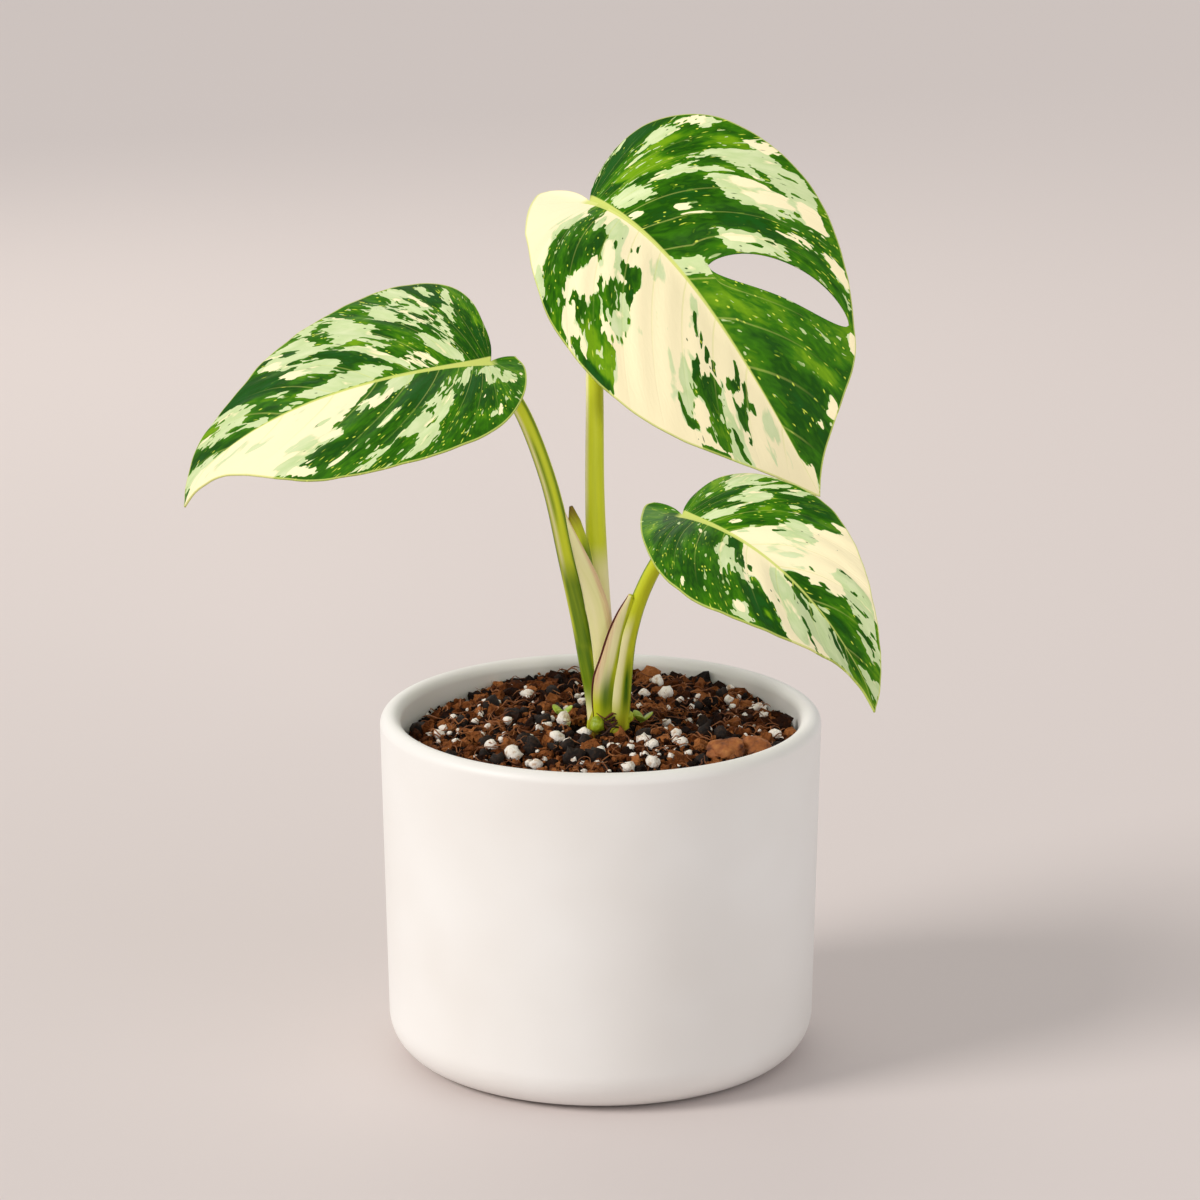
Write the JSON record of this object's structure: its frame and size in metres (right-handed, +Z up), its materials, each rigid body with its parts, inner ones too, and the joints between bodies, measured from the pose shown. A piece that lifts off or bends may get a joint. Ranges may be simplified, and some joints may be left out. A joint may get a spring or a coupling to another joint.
{
  "type": "potted variegated monstera",
  "caption": "Young variegated monstera with green and cream heart-shaped leaves on sheathed stalks, growing from a chunky potting mix in a plain white ceramic pot.",
  "frame": {"origin": "middle of the pot's flat underside", "axes": "+Z up along the pot's axis to the highest leaf; the picture looks along +Y with +X to the right"},
  "size_m": [0.186, 0.13, 0.2552],
  "materials": {
    "pot_ceramic": "matte white, smooth",
    "potting_mix": "rough, crumbly bark mix",
    "stem_skin": "matte green skin",
    "petiole_skin": "satin yellow-green skin",
    "leaf_blade": "satin, green marbled with cream",
    "sprout_leaf": "satin green"
  },
  "bodies": {
    "root": {"pot": "pot_ceramic", "soil": "potting_mix", "stem": "stem_skin", "bud": "stem_skin", "petiole_left": "petiole_skin", "petiole_right": "petiole_skin", "petiole_centre": "petiole_skin", "leaf_left": "leaf_blade", "leaf_top": "leaf_blade", "leaf_right": "leaf_blade", "sprout_left": "sprout_leaf", "sprout_right": "sprout_leaf"}
  },
  "joints": []
}
